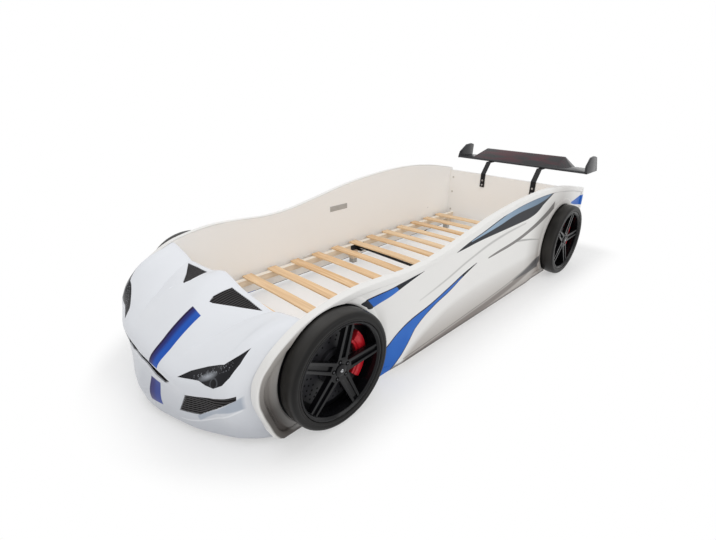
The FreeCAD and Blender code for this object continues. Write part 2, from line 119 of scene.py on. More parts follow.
class Shader:
    """One material, and the nodes added to it."""

    def __init__(self, name, color=(0.8, 0.8, 0.8), rough=0.5, metal=0.0, coat=0.0, gloss=0.5):
        self.material = bpy.data.materials.new(name)
        self.material.use_nodes = True
        self.tree = self.material.node_tree
        self.skin = self.tree.nodes["Principled BSDF"]
        self.set("Base Color", (*color, 1.0))
        self.set("Roughness", rough)
        self.set("Metallic", metal)
        self.set("Coat Weight", coat)
        self.set("Coat Roughness", 0.1)
        self.set("Specular IOR Level", gloss)
        self.place = Socket(self, self.add("ShaderNodeTexCoord").outputs["Object"])
        parts = self.add("ShaderNodeSeparateXYZ", {}, {0: self.place}).outputs
        self.x, self.y, self.z = [Socket(self, p) for p in parts]

    def add(self, kind, settings=None, inputs=None):
        node = self.tree.nodes.new(kind)
        for key, value in (settings or {}).items():
            setattr(node, key, value)
        for key, value in (inputs or {}).items():
            self.feed(node, key, value)
        return node

    def feed(self, node, key, value):
        """Give an input of a node its value, or link it."""
        if isinstance(value, Socket):
            self.tree.links.new(value.out, node.inputs[key])
        else:
            node.inputs[key].default_value = value

    def set(self, name, value):
        self.feed(self.skin, name, value)

    def noise(self, scale, detail=3.0, stretch=(1.0, 1.0, 1.0)):
        where = self.add("ShaderNodeMapping", {}, {"Vector": self.place, "Scale": stretch})
        node = self.add("ShaderNodeTexNoise", {}, {"Vector": Socket(self, where.outputs[0]),
                                                   "Scale": scale, "Detail": detail})
        return Socket(self, node.outputs[0])

    def mix(self, share, first, second):
        """Colour between first and second."""
        first, second = (c if isinstance(c, Socket) else (*c, 1.0) for c in (first, second))
        node = self.add("ShaderNodeMix", {"data_type": "RGBA"}, {0: share, 6: first, 7: second})
        return Socket(self, node.outputs[2])

    def curve(self, along, points):
        """Value read from a smooth line through (along, value) points, in metres."""
        lo, hi = points[0][0], points[-1][0]
        values = [v for _, v in points]
        base, span = min(values), max(max(values) - min(values), 1e-4)
        node = self.add("ShaderNodeFloatCurve", {}, {1: (along - lo) / (hi - lo)})
        line = node.mapping.curves[0]
        for i, (a, v) in enumerate(points):
            at = ((a - lo) / (hi - lo), (v - base) / span)
            if i in (0, len(points) - 1):
                line.points[0 if i == 0 else -1].location = at
            else:
                line.points.new(*at)
        node.mapping.update()
        return Socket(self, node.outputs[0]) * span + base

    def band(self, along, across, lower, upper, soft=0.001):
        """1 between two lines drawn over the same stretch, 0 elsewhere."""
        inside = (across - self.curve(along, lower)).edge(soft)
        inside = inside * (self.curve(along, upper) - across).edge(soft)
        inside = inside * (along - max(lower[0][0], upper[0][0])).edge(soft)
        return inside * (min(lower[-1][0], upper[-1][0]) - along).edge(soft)

    def printed(self, color, paint, lower, upper, strength=1.0, soft=0.001):
        """The colour with a shape printed on the side, between two lines of (y, z) points."""
        return self.mix(self.band(self.y, self.z, lower, upper, soft) * strength, color, paint)

    def bump(self, height, strength, distance):
        node = self.add("ShaderNodeBump", {}, {"Strength": strength, "Distance": distance, "Height": height})
        self.set("Normal", Socket(self, node.outputs[0]))

    def vary_rough(self, base, spread, scale=18.0):
        self.set("Roughness", self.noise(scale) * spread + (base - spread / 2))


def around(s, y):
    """Distance from an axle, seen from the side."""
    dy = s.y - y
    dz = s.z - AXLE_Z
    return (dy * dy + dz * dz).root()


def raised(line, height):
    """The same line of (y, z) points, a little higher or lower."""
    return [(y, z + height) for y, z in line]


# ----- print and painted shade on the sides
BLACK_INK = (0.012, 0.014, 0.02)
SHADOW_BLACK = (0.006, 0.006, 0.007)
WHEEL_HOLE = 0.2045


def wheel_shade(s, color):
    """Brown shade on the ring round each wheel, and a wide one in front of the rear wheel."""
    for y in AXLES:
        ring = (0.262 - around(s, y)).edge(0.030) * (around(s, y) - 0.2325).edge(0.004)
        color = s.mix(ring * ((0.34 - s.z) * 3.6).clip() * 0.7, color, (0.26, 0.235, 0.215))
    rear = (1.0 - (around(s, AXLES[1]) - 0.200) / 0.20).clip() * (AXLES[1] + 0.08 - s.y).edge(0.20)
    return s.mix(rear * 0.60, color, (0.30, 0.27, 0.245))


def channel_shade(s, color):
    """Dark channel between the lip of the nose and the front wheel, darkest near the floor."""
    lip = s.curve(s.z, [(0.027, AXLES[0] - 0.196)]
                  + [(z / 1000, AXLES[0] + y / 1000) for y, z in NOSE_SWEEP[1:9]])
    depth = s.y - lip
    ahead = (-0.93 - s.y).edge(0.10) * (abs(s.x) - 0.4800).edge(0.001) * (0.375 - s.z).edge(0.04)
    tone = s.mix(((s.z - 0.15) / 0.25).clip(), (0.055, 0.046, 0.040), (0.50, 0.47, 0.44))
    groove = (depth - 0.005).edge(0.006) * (0.060 - depth).edge(0.040)
    color = s.mix(groove * ahead * 0.9, color, tone)
    bulge = (depth - 0.030).edge(0.030) * (0.40 - s.z).edge(0.06)
    return s.mix(bulge * ahead * 0.6, color, tone)


def hem_shade_and_lines(s, color):
    """Skirt with painted brown shade darker to the hem, a painted dark band and hem shadow, a thin line and a
    wedge.
    """
    skirt = s.band(s.y, s.z, [(-0.56, 0.0), (0.2, 0.0), (0.68, 0.0)],
                   [(-0.56, 0.05), (-0.35, 0.130), (-0.1, 0.178), (0.2, 0.190), (0.5, 0.185),
                    (0.68, 0.17)], 0.03)
    # Painted shade: the skirt darkens towards the hem.
    color = s.mix(skirt * ((0.21 - s.z) * 5.5).clip() * 0.85, color, (0.34, 0.30, 0.27))
    top = [(-0.56, 0.040), (-0.2, 0.058), (0.2, 0.080), (0.45, 0.105), (0.62, 0.135), (0.66, 0.140)]
    # Painted shade: dark band below the line along the skirt.
    color = s.printed(color, (0.19, 0.165, 0.15), raised(top, -0.030), top, 0.8, 0.010)
    color = s.printed(color, (0.13, 0.12, 0.11), raised(top, 0.006), raised(top, 0.010), 0.7, 0.003)
    color = s.printed(color, (0.085, 0.085, 0.09), [(0.33, 0.092), (0.5, 0.088), (0.645, 0.080)],
                      [(0.33, 0.094), (0.5, 0.118), (0.645, 0.152)], 0.85, 0.004)
    # Painted shadow along the hem.
    return s.mix((0.040 - s.z).edge(0.008) * 0.8, color, (0.10, 0.09, 0.085))


def stripe_print(s, color, blue):
    """Black stripe over the front wheel with a blue heart, and the blue swoosh behind the wheel."""
    stripe = s.band(
        s.y, s.z,
        [(-0.785, 0.369), (-0.760, 0.350), (-0.733, 0.334), (-0.689, 0.338), (-0.637, 0.343),
         (-0.584, 0.354), (-0.528, 0.366), (-0.44, 0.383)],
        [(-0.785, 0.370), (-0.749, 0.375), (-0.690, 0.375), (-0.639, 0.374), (-0.585, 0.377),
         (-0.44, 0.384)])
    color = s.mix(stripe, color, BLACK_INK)
    lean = s.y + s.z * 0.8
    heart = stripe * (lean + 0.452).edge(0.003) * (-0.305 - lean).edge(0.004) * (0.370 - s.z).edge(0.003)
    color = s.mix(heart, color, blue)
    low = [(-0.70, -0.06), (-0.631, 0.026), (-0.592, 0.053), (-0.535, 0.095), (-0.447, 0.163),
           (-0.352, 0.204), (-0.25, 0.233), (-0.179, 0.261), (-0.105, 0.286), (-0.05, 0.303)]
    top = [(-0.70, 0.105), (-0.637, 0.143), (-0.571, 0.179), (-0.513, 0.199), (-0.388, 0.222),
           (-0.254, 0.257), (-0.145, 0.288), (-0.05, 0.306)]
    color = s.printed(color, BLACK_INK, low, top)
    return s.printed(color, blue, raised(low[:-3], 0.004) + [(-0.16, 0.274)],
                     raised(top[:-2], -0.006) + [(-0.16, 0.276)])


def window_print(s, color):
    """Dark window shape with a pale blue upper band."""
    color = s.printed(
        color, BLACK_INK,
        [(-0.227, 0.399), (-0.168, 0.401), (-0.05, 0.407), (0.126, 0.408), (0.325, 0.409),
         (0.434, 0.412), (0.592, 0.462), (0.701, 0.503)],
        [(-0.227, 0.400), (-0.134, 0.424), (-0.016, 0.446), (0.109, 0.472), (0.293, 0.501),
         (0.512, 0.508), (0.701, 0.504)])
    pale = s.mix((s.y * 1.6).clip(), (0.30, 0.42, 0.55), (0.13, 0.20, 0.29))
    return s.printed(
        color, pale,
        [(-0.12, 0.420), (0.0, 0.430), (0.109, 0.441), (0.293, 0.464), (0.512, 0.472), (0.66, 0.498)],
        [(-0.12, 0.424), (0.0, 0.444), (0.109, 0.467), (0.293, 0.496), (0.512, 0.503), (0.66, 0.504)],
        1.0, 0.003)


def grey_lines(s, color):
    """Line that sweeps up to the rear wheel, its branch, and the faint one above it."""
    low = [(0.05, 0.302), (0.126, 0.304), (0.302, 0.313), (0.458, 0.338), (0.60, 0.372), (0.73, 0.42)]
    low = [(y, z - 0.006 - max(y - 0.3, 0.0) * 0.02) for y, z in low]
    top = [(0.05, 0.303), (0.126, 0.311), (0.302, 0.325), (0.458, 0.352), (0.60, 0.392), (0.73, 0.45)]
    color = s.printed(color, (0.15, 0.14, 0.135), low, top, 0.9, 0.002)
    color = s.printed(color, (0.24, 0.235, 0.23), [(0.30, 0.312), (0.42, 0.292), (0.60, 0.256)],
                      [(0.30, 0.322), (0.42, 0.302), (0.60, 0.258)], 0.6)
    return s.printed(color, (0.42, 0.41, 0.40),
                     [(-0.46, 0.262), (-0.3, 0.29), (-0.1, 0.337), (0.12, 0.372), (0.4, 0.39)],
                     [(-0.46, 0.264), (-0.3, 0.298), (-0.1, 0.347), (0.12, 0.384), (0.4, 0.395)],
                     0.7, 0.008)


def tail_print(s, color, blue):
    """Blue flash and lilac patch behind the rear wheel."""
    color = s.printed(color, blue, [(0.965, 0.395), (1.072, 0.368), (1.15, 0.356)],
                      [(0.965, 0.396), (1.072, 0.411), (1.15, 0.424)])
    return s.printed(color, (0.42, 0.46, 0.66), [(1.03, 0.352), (1.09, 0.26), (1.15, 0.24)],
                     [(1.03, 0.353), (1.09, 0.335), (1.15, 0.30)], 0.6)


def side_print_and_shade():
    """Warm white side skin with its painted shade and print, and a painted shadow behind the wheels."""
    s = Shader("side_print_and_shade", gloss=0.12)
    blue = s.mix(s.noise(7.0, 2.0), (0.020, 0.10, 0.44), (0.040, 0.20, 0.66))
    color = s.mix(s.noise(2.2, 2.0) * 0.5, (0.82, 0.81, 0.79), (0.88, 0.875, 0.86))
    for layer in (wheel_shade, channel_shade, hem_shade_and_lines):
        color = layer(s, color)
    color = stripe_print(s, color, blue)
    color = grey_lines(s, window_print(s, color))
    color = tail_print(s, color, blue)
    # Painted shadow: black on the skin behind each wheel.
    shadow_behind_wheels = (WHEEL_HOLE - around(s, AXLES[0]).low(around(s, AXLES[1]))).edge(0.001)
    s.set("Base Color", s.mix(shadow_behind_wheels, color, SHADOW_BLACK))
    s.vary_rough(0.32, 0.06)
    s.bump(s.noise(160.0), 0.05, 0.0004)
    return s


# ----- other materials
def long_stripe(s, color):
    """Stripe down the bonnet and bumper: a thin plum edge, navy, then blue."""
    across = s.x - 0.004 * (s.y + 1.3)
    lane = (across - 0.070).edge(0.0015) * (0.127 - across).edge(0.0015)
    bonnet = lane * (-1.168 - s.y).edge(0.002) * (s.z - 0.206).edge(0.002)
    bumper = lane * (0.150 - s.z).edge(0.002) * (s.z - 0.066).edge(0.002) * (-1.2 - s.y).edge(0.002)
    both = bonnet.high(bumper)
    color = s.mix(both, color, (0.018, 0.095, 0.46))
    color = s.mix(both * (0.097 - across).edge(0.016), color, (0.020, 0.028, 0.17))
    color = s.mix(both * (0.080 - across).edge(0.006), color, (0.016, 0.008, 0.05))
    return s.mix(bumper * 0.6, color, (0.055, 0.050, 0.20))


def shell_print_and_shade():
    """Cool white bonnet and bumper: painted shade makes it greyer below and in a pressed form beside each
    duct.
    """
    s = Shader("shell_print_and_shade", gloss=0.10)
    color = s.mix(s.noise(3.0, 2.0) * 0.6, (0.78, 0.80, 0.84), (0.83, 0.845, 0.875))
    # Painted shade: greyer towards the bottom.
    color = s.mix((0.17 - s.z).edge(0.2) * 0.65, color, (0.48, 0.50, 0.545))
    side = abs(s.x)
    # Painted shade of the pressed form beside each duct.
    recess_shade = s.band(side, s.z, [(0.284, 0.070), (0.33, 0.110), (0.384, 0.150), (0.448, 0.178)],
                    [(0.284, 0.094), (0.33, 0.128), (0.405, 0.184), (0.448, 0.222)], 0.006)
    color = s.mix(recess_shade * 0.8 * (-1.1 - s.y).edge(0.01), color, (0.36, 0.41, 0.49))
    # Painted highlight along a step low on the bumper.
    ledge_highlight = [(0.20, 0.042), (0.247, 0.052), (0.374, 0.121), (0.445, 0.171)]
    ledge_highlight = s.band(side, s.z, ledge_highlight, [(0.20, 0.046)] + raised(ledge_highlight[1:], 0.006), 0.004)
    color = s.mix(ledge_highlight * 0.5, color, (0.93, 0.94, 0.96))
    s.set("Base Color", long_stripe(s, color))
    s.vary_rough(0.26, 0.06)
    s.bump(s.noise(90.0), 0.04, 0.0005)
    return s


def melamine():
    """Satin cream board."""
    s = Shader("cream_melamine")
    s.set("Base Color", s.mix(s.noise(3.0, 4.0), (0.95, 0.94, 0.92), (0.98, 0.97, 0.955)))
    s.vary_rough(0.42, 0.08)
    s.bump(s.noise(260.0), 0.12, 0.0003)
    return s


def wood_grain(s, along, scale, settings):
    """Noise stretched along a piece; along holds the three coordinates it is read at."""
    where = s.add("ShaderNodeCombineXYZ", {}, dict(enumerate(along)))
    waves = s.add("ShaderNodeTexNoise", {}, {"Vector": Socket(s, where.outputs[0]), "Scale": scale,
                                             **settings})
    return Socket(s, waves.outputs[0])


def slat_wood():
    """Birch veneer: grain along the slat, a little different from slat to slat."""
    s = Shader("slat_birch", coat=0.15)
    piece = (s.y * 6.71).maths("FLOOR")
    grain = wood_grain(s, (s.x * 1.2 + piece * 3.7, s.y * 26.0, s.z * 26.0), 2.4,
                       {"Detail": 5.0, "Distortion": 0.6})
    shift = s.add("ShaderNodeTexWhiteNoise", {"noise_dimensions": "1D"}, {"W": piece})
    color = s.mix(((grain - 0.35) * 2.6).clip(), (0.70, 0.42, 0.19), (0.93, 0.66, 0.39))
    s.set("Base Color", s.mix(Socket(s, shift.outputs["Value"]) * 0.45, color, (0.95, 0.74, 0.49)))
    s.set("Roughness", grain * 0.25 + 0.28)
    s.bump(grain, 0.15, 0.0006)
    return s


def rail_wood():
    """Spruce rail, with a painted highlight that makes it palest on its top."""
    s = Shader("rail_spruce")
    grain = wood_grain(s, (s.x * 30.0, s.y * 1.3, s.z * 30.0), 2.5, {"Detail": 4.0})
    # Painted highlight: cream, strongest on the top.
    pale = (s.z - 0.1315).edge(0.001) * 0.6 + 0.4
    wood = s.mix(((grain - 0.35) * 3.0).clip(), (0.66, 0.45, 0.26), (0.84, 0.66, 0.45))
    s.set("Base Color", s.mix(pale * 0.85, wood, (0.95, 0.90, 0.81)))
    s.set("Roughness", grain * 0.2 + 0.45)
    s.bump(grain, 0.2, 0.0006)
    return s


def plain(name, first, second, rough, scale=12.0, metal=0.0, gloss=0.5):
    """Material of two close tones with a fine surface."""
    s = Shader(name, metal=metal, gloss=gloss)
    s.set("Base Color", s.mix(s.noise(scale), first, second))
    s.vary_rough(rough, 0.08, scale * 1.7)
    s.bump(s.noise(scale * 20), 0.1, 0.0003)
    return s


def wing_paint():
    """Dark wing with faint maroon streaks on top of its blade."""
    s = Shader("wing_paint", coat=0.1, gloss=0.3)
    s.set("Coat Roughness", 0.08)
    color = s.mix(s.noise(9.0), (0.012, 0.012, 0.014), (0.028, 0.028, 0.032))
    on_top = (s.z - 0.548).edge(0.004) * (0.40 - abs(s.x)).edge(0.03)
    streak = s.noise(14.0, 2.0, (0.35, 2.0, 1.0))
    maroon = on_top * (0.31 - abs(s.x)).edge(0.16) * ((streak - 0.42) * 6.0).clip()
    s.set("Base Color", s.mix(maroon * 0.45, color, (0.11, 0.008, 0.020)))
    s.vary_rough(0.25, 0.08)
    s.bump(s.noise(120.0), 0.06, 0.0003)
    return s


def tyre_rubber():
    """Moulded tyre: fine rings on the wall and a painted highlight, greyer and uneven, on the tread."""
    s = Shader("tyre_wall", gloss=0.18)
    front = (0.0 - s.y).edge(0.01)
    radius = around(s, AXLES[0]) * front + around(s, AXLES[1]) * (1.0 - front)
    rings = (radius * 1450.0).maths("SINE") * 0.5 + 0.5
    color = s.mix(s.noise(20.0), (0.004, 0.004, 0.004), (0.012, 0.011, 0.0105))
    # Painted highlight: greyer, uneven tread.
    tread = (radius - 0.1995).edge(0.003) * ((s.noise(5.0, 2.0) - 0.35) * 3.0).clip()
    s.set("Base Color", s.mix(tread * 0.6, color, (0.060, 0.056, 0.051)))
    s.set("Roughness", rings * 0.08 + 0.36)
    s.bump(rings + s.noise(140.0) * 0.6, 0.18, 0.0004)
    return s


def lamp_film():
    """Dark headlamp: a soft painted reflection on the left lamp's reflector, a row of small lights and a
    round lens.
    """
    s = Shader("lamp_film", gloss=0.1)
    side = abs(s.x)
    away = side - 0.345
    rise = s.z - 0.260 - away * 0.55
    # Painted reflection, on the left lamp only.
    painted_reflection = (1.0 - (away * away * 0.30 + rise * rise * 2.2).root() / 0.020).clip() * s.x.edge(0.4)
    dark = s.mix(s.noise(16.0), (0.006, 0.006, 0.008), (0.022, 0.022, 0.026))
    color = s.mix(painted_reflection * 0.75, dark, (0.50, 0.53, 0.58))
    cells = s.add("ShaderNodeTexVoronoi", {}, {"Vector": s.place, "Scale": 150.0})
    dots = (0.30 - Socket(s, cells.outputs["Distance"])).edge(0.1)
    row = (0.010 - abs(s.z - 0.268 - away * 0.62)).edge(0.006)
    row = row * (side - 0.285).edge(0.01) * (0.410 - side).edge(0.01)
    color = s.mix(dots * row * 0.45, color, (0.42, 0.44, 0.48))
    over, up = side - 0.378, s.z - 0.254
    lens = (over * over + up * up).root()
    color = s.mix((0.013 - lens).edge(0.002), color, (0.008, 0.008, 0.010))
    color = s.mix((0.0022 - abs(lens - 0.0135)).edge(0.0015) * 0.4, color, (0.14, 0.15, 0.17))
    s.set("Base Color", color)
    s.vary_rough(0.12, 0.06)
    return s


finish = {
    "cream_board": melamine(),
    "side_plastic": side_print_and_shade(),
    "shell_plastic": shell_print_and_shade(),
    "lamp_plastic": lamp_film(),
    "dark_plastic": plain("vent_black", (0.022, 0.020, 0.021), (0.050, 0.046, 0.048), 0.5, gloss=0.2),
    "rail_wood": rail_wood(),
    "slat_wood": slat_wood(),
    "black_steel": plain("bracket_black", (0.008, 0.008, 0.009), (0.016, 0.016, 0.018), 0.42, 30.0,
                         gloss=0.2),
    "pad_plastic": plain("pad_grey", (0.50, 0.49, 0.47), (0.60, 0.59, 0.57), 0.6, gloss=0.2),
    "cap_plastic": plain("cap_cream", (0.62, 0.59, 0.54), (0.70, 0.67, 0.62), 0.45, 40.0),
    "tyre_plastic": tyre_rubber(),
    "rim_plastic": plain("rim_black", (0.003, 0.003, 0.004), (0.007, 0.007, 0.008), 0.2, 15.0, gloss=0.2),
    "disc_plastic": plain("disc_grey", (0.020, 0.020, 0.023), (0.040, 0.040, 0.045), 0.38, 25.0, gloss=0.3),
    "caliper_plastic": plain("caliper_red", (0.42, 0.006, 0.014), (0.55, 0.014, 0.024), 0.3, 20.0, gloss=0.3),
    "wing_plastic": wing_paint(),
    "screw_steel": plain("screw_zinc", (0.42, 0.42, 0.43), (0.58, 0.58, 0.60), 0.35, 60.0, metal=1.0),
}
angle_white = plain("angle_white", (0.84, 0.80, 0.75), (0.90, 0.87, 0.82), 0.5)
plate_grey = plain("plate_grey", (0.40, 0.39, 0.37), (0.50, 0.48, 0.46), 0.4, 60.0)
# Painted shadow for the lug wells.
well_shadow_black = plain("well_shadow_black", (0.001, 0.001, 0.001), (0.003, 0.003, 0.003), 0.8, 60.0, gloss=0.05)
lug_grey = plain("lug_grey", (0.05, 0.05, 0.055), (0.09, 0.09, 0.10), 0.3, 60.0, metal=0.6)
glint_chrome = plain("glint_chrome", (0.55, 0.56, 0.58), (0.70, 0.71, 0.73), 0.18, 60.0, metal=1.0)
# Painted shade for the drillings in the brake discs.
drilling_shadow_black = plain("drilling_shadow_black", (0.003, 0.003, 0.003), (0.006, 0.006, 0.006), 0.8, 60.0, gloss=0.1)

slot_of = {part["node"]: part["material_slot"] for part in frame["record"]["subparts"]}
for name, obj in nodes.items():
    obj.data.materials.clear()
    obj.data.materials.append((angle_white if name == "rail_angles" else finish[slot_of[name]]).material)

# ----- shapes
MERGE = 1e-5  # metres; closer corners become one


def placed(name, data):
    """New object in the scene."""
    obj = bpy.data.objects.new(name, data)
    bpy.context.scene.collection.objects.link(obj)
    return obj


def mesh_object(name, corners, faces, slot):
    mesh = bpy.data.meshes.new(name)
    mesh.from_pydata([tuple(c) for c in corners], [], faces)
    mesh.materials.append(finish[slot].material)
    return placed(name, mesh)


@contextmanager
def edited(mesh):
    """The mesh opened for editing, and written back afterwards."""
    work = bmesh.new()
    work.from_mesh(mesh)
    yield work
    work.to_mesh(mesh)
    work.free()


def clean(mesh, sharp, outward=True):
    """Merge doubled corners, turn the faces outwards if wanted, and shade."""
    with edited(mesh) as work:
        bmesh.ops.remove_doubles(work, verts=work.verts, dist=MERGE)
        if outward:
            bmesh.ops.recalc_face_normals(work, faces=work.faces)
    shade(mesh, sharp)


def shade(mesh, sharp):
    """Shade smooth, apart from edges sharper than an angle in degrees."""
    mesh.shade_smooth()
    mesh.set_sharp_from_angle(angle=math.radians(sharp))


def settle(obj):
    """Turn an object and its modifiers into a plain mesh."""
    bpy.context.view_layer.update()
    shaped = obj.evaluated_get(bpy.context.evaluated_depsgraph_get())
    mesh = bpy.data.meshes.new_from_object(shaped)
    obj.modifiers.clear()
    obj.data = mesh
    return obj


def dress(obj, slot, *replaced):
    """Hand a finished piece over, in place of the CAD nodes that it replaces."""
    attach(obj, "root")
    if replaced:
        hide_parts(*replaced)


def eased(knots, places, steps):
    """Smooth rows through the given rows, which stand at the given places."""
    knots = np.asarray(knots, float)
    wide = (-1,) + (1,) * (knots.ndim - 1)
    gap = np.diff(np.asarray(places, float)).reshape(wide)
    run = np.diff(knots, axis=0) / gap
    inner = (run[:-1] * gap[1:] + run[1:] * gap[:-1]) / (gap[1:] + gap[:-1])
    slope = np.concatenate([run[:1], inner, run[-1:]])
    rows = []
    for i in range(len(gap)):
        for t in np.arange(steps) / steps:
            rows.append((2 * t ** 3 - 3 * t * t + 1) * knots[i] + (t ** 3 - 2 * t * t + t) * gap[i] * slope[i]
                        + (3 * t * t - 2 * t ** 3) * knots[i + 1] + (t ** 3 - t * t) * gap[i] * slope[i + 1])
    return np.array(rows + [knots[-1]])


# ----- bonnet and bumper
# Upright cuts through the nose, in millimetres: share of the half width, how fast the cut
# closes on the middle, and its points from the rear edge of the bonnet to the hem.
SHELL_HALF = INNER_WALL_X - 0.3
SHARE_Y = -62  # where along the bonnet a cut stands at its share
MIDDLE = [
    (0.0, 0.0, [(-33, 402), (-85, 392), (-138, 376), (-191, 349), (-241, 318),
                (-301, 269), (-359, 208), (-361, 165), (-385, 95), (-371, 18)]),
    (0.207, 0.1625, [(-33, 376), (-85, 373), (-138, 362), (-191, 343), (-236, 317),
                     (-298, 270), (-357, 208), (-358, 164), (-379, 94), (-367, 18)]),
    (0.413, 0.325, [(-33, 364), (-85, 357), (-138, 345), (-191, 326), (-236, 303),
                    (-297, 262), (-355, 208), (-354, 163), (-370, 92), (-359, 18)]),
    (0.62, 0.4875, [(-33, 357), (-85, 347), (-138, 328), (-191, 303), (-236, 283),
                    (-295, 250), (-352, 207), (-349, 161), (-355, 90), (-343, 18)]),
]
FLANK = MIDDLE[-1:] + [
    (0.687, 0.27, [(-33, 366), (-85, 357), (-138, 341), (-189, 319), (-236, 293),
                   (-291, 252), (-339, 207), (-333, 158), (-326, 88), (-309, 18)]),
    (0.76, 0.0, [(-33, 373), (-85, 366), (-138, 353), (-189, 332), (-234, 305),
                 (-283, 261), (-306, 207), (-296, 155), (-275, 85), (-254, 18)]),
    (0.87, 0.0, [(-33, 384), (-85, 382), (-135, 372), (-185, 352), (-227, 322),
                 (-270, 270), (-289, 212), (-280, 155), (-247, 82), (-215, 18)]),
    (0.935, 0.0, [(-33, 390), (-81, 386), (-130, 373), (-178, 350), (-217, 317),
                  (-254, 266), (-269, 210), (-259, 152), (-221, 80), (-183, 18)]),
    (1.0, 0.0, [(-33, 394), (-70, 379), (-107, 358), (-142, 334), (-168, 313),
                (-196, 275), (-211, 222), (-209, 170), (-189, 105), (-138, 18)]),
]
VENT = [(92, -51), (190, -45), (278, -47), (182, -98), (115, -139), (100, -143), (88, -121)]
LAMP = [(233, 222), (264, 245), (325, 277), (384, 304), (414, 334), (427, 350),
        (428, 316), (421, 282), (408, 258), (383, 242), (349, 238), (318, 239), (265, 228)]
DUCT = [(263, 172), (212, 86), (296, 102), (405, 187), (440, 213), (440, 227), (375, 210)]
MOUTH = [(-203, 194), (-165, 170), (-105, 169), (-45, 189), (45, 189), (105, 169), (165, 170), (203, 194),
         (155, 201), (60, 205), (-60, 205), (-155, 201)]

# Depth below the face of the nose and thickness in metres, and gaps round inserts in millimetres.
SHELL_WALL = 0.004
LAMP_SINK, LAMP_WALL = 0.0008, 0.006
BLADE_SINK, BLADE_WALL = 0.0012, 0.006
GRILLE_SINK, GRILLE_WALL = 0.0065, 0.003
EDGE_GAP, BLADE_GAP = 0.3, 0.6
BEAK = Vector((0, -1.3, 0.28))  # metres

# Start and length of cutting shapes, from above and from the front.
PLAN_START, PLAN_RUN = 250, 200
FRONT_START, FRONT_RUN = -420, 300


def nose_column(share, closing, points):
    """One cut, from the flange behind the bonnet over the nose to the hem."""
    def place(y, z):
        return np.array([share * SHELL_HALF + closing * (y - SHARE_Y), FOOT_Y + y, z])

    crown_z = points[0][1]
    line = [place(y, z) for y, z in points]
    along = np.cumsum([0] + [np.linalg.norm(b - a) for a, b in zip(line, line[1:])])
    flange = [place(-18, 240), place(-18, crown_z - 16), place(-19.5, crown_z - 9), place(-24, crown_z - 3.2)]
    return np.array(flange + list(eased(line, along, 7)))


def nose_sheet(name, depth, thickness, slot):
    """Closed sheet that follows the nose at a depth below its face."""
    shares = [s for s, _, _ in MIDDLE]
    half = [nose_column(*cut) for cut in MIDDLE]
    other = [column * (-1, 1, 1) for column in half[:0:-1]]
    middle = eased(other + half, [-s for s in shares[:0:-1]] + shares, 6)
    side = eased([nose_column(*cut) for cut in FLANK], [s for s, _, _ in FLANK], 5)
    columns = np.concatenate([side[:0:-1] * (-1, 1, 1), middle, side[1:]]) / 1000
    wide, tall = columns.shape[:2]
    faces = [(i * tall + j, i * tall + j + 1, (i + 1) * tall + j + 1, (i + 1) * tall + j)
             for i in range(wide - 1) for j in range(tall - 1)]
    obj = mesh_object(name, columns.reshape(-1, 3), faces, slot)
    with edited(obj.data) as work:
        work.normal_update()
        middle_face = min(work.faces, key=lambda f: (f.calc_center_median() - BEAK).length)
        if middle_face.normal.z < 0:
            bmesh.ops.reverse_faces(work, faces=work.faces)
        work.normal_update()
        for corner in work.verts:
            corner.co -= corner.normal * depth
    wall = obj.modifiers.new("wall", "SOLIDIFY")
    wall.thickness = thickness
    wall.offset = -1.0
    wall.use_even_offset = True
    return settle(obj)


def prism(name, outlines, run, slot):
    """Closed prisms over flat outlines of 3-D points in millimetres, pushed along a run."""
    corners, faces = [], []
    for outline in outlines:
        first = len(corners)
        n = len(outline)
        near = [Vector(c) for c in outline]
        corners += [c / 1000 for c in near] + [(c + Vector(run)) / 1000 for c in near]
        faces.append(tuple(first + i for i in range(n)))
        faces.append(tuple(first + n + i for i in reversed(range(n))))
        faces += [(first + i, first + n + i, first + n + (i + 1) % n, first + (i + 1) % n) for i in range(n)]
    obj = mesh_object(name, corners, faces, slot)
    clean(obj.data, 30)
    return obj


def both_sides(outline):
    """The outline and its mirror image."""
    return [outline, [(-x, a) for x, a in outline]]


def plan_prism(outlines):
    """Upright prisms over outlines seen from above."""
    rings = [[(x, FOOT_Y + y, PLAN_START) for x, y in outline] for outline in outlines]
    return prism("plan_cutter", rings, (0, 0, PLAN_RUN), "dark_plastic")


def front_prism(outlines):
    """Lengthways prisms over outlines seen from the front."""
    rings = [[(x, FOOT_Y + FRONT_START, z) for x, z in outline] for outline in outlines]
    return prism("front_cutter", rings, (0, FRONT_RUN, 0), "dark_plastic")


def carve(obj, operation, *cutters):
    """Cut the object with each other shape in turn, or join it on, and throw the others away."""
    for cutter in cutters:
        tool = obj.modifiers.new("cut", "BOOLEAN")
        tool.operation = operation
        tool.solver = "EXACT"
        tool.object = cutter
        settle(obj)
    for cutter in cutters:
        bpy.data.objects.remove(cutter)
    return obj


def shrunk(outline, distance):
    """The outline moved inwards all round."""
    points = [Vector(p) for p in outline]
    area = sum(a.x * b.y - b.x * a.y for a, b in zip(points, points[1:] + points[:1]))
    turn = 1 if area > 0 else -1
    moved = []
    for i, point in enumerate(points):
        before = (point - points[i - 1]).normalized()
        after = (points[(i + 1) % len(points)] - point).normalized()
        inward = Vector((-before.y - after.y, before.x + after.x)) * turn
        moved.append(tuple(point + inward.normalized() * distance / max(0.5, inward.length / 2)))
    return moved


def front_shell():
    """Bonnet and bumper in one sheet, with its openings."""
    shell = nose_sheet("front_shell_skin", 0.0, SHELL_WALL, "shell_plastic")
    carve(shell, "DIFFERENCE", plan_prism(both_sides(VENT)),
          front_prism(both_sides(LAMP) + both_sides(DUCT) + [MOUTH]))
    clean(shell.data, 14, False)
    dress(shell, "shell_plastic", "front_shell")


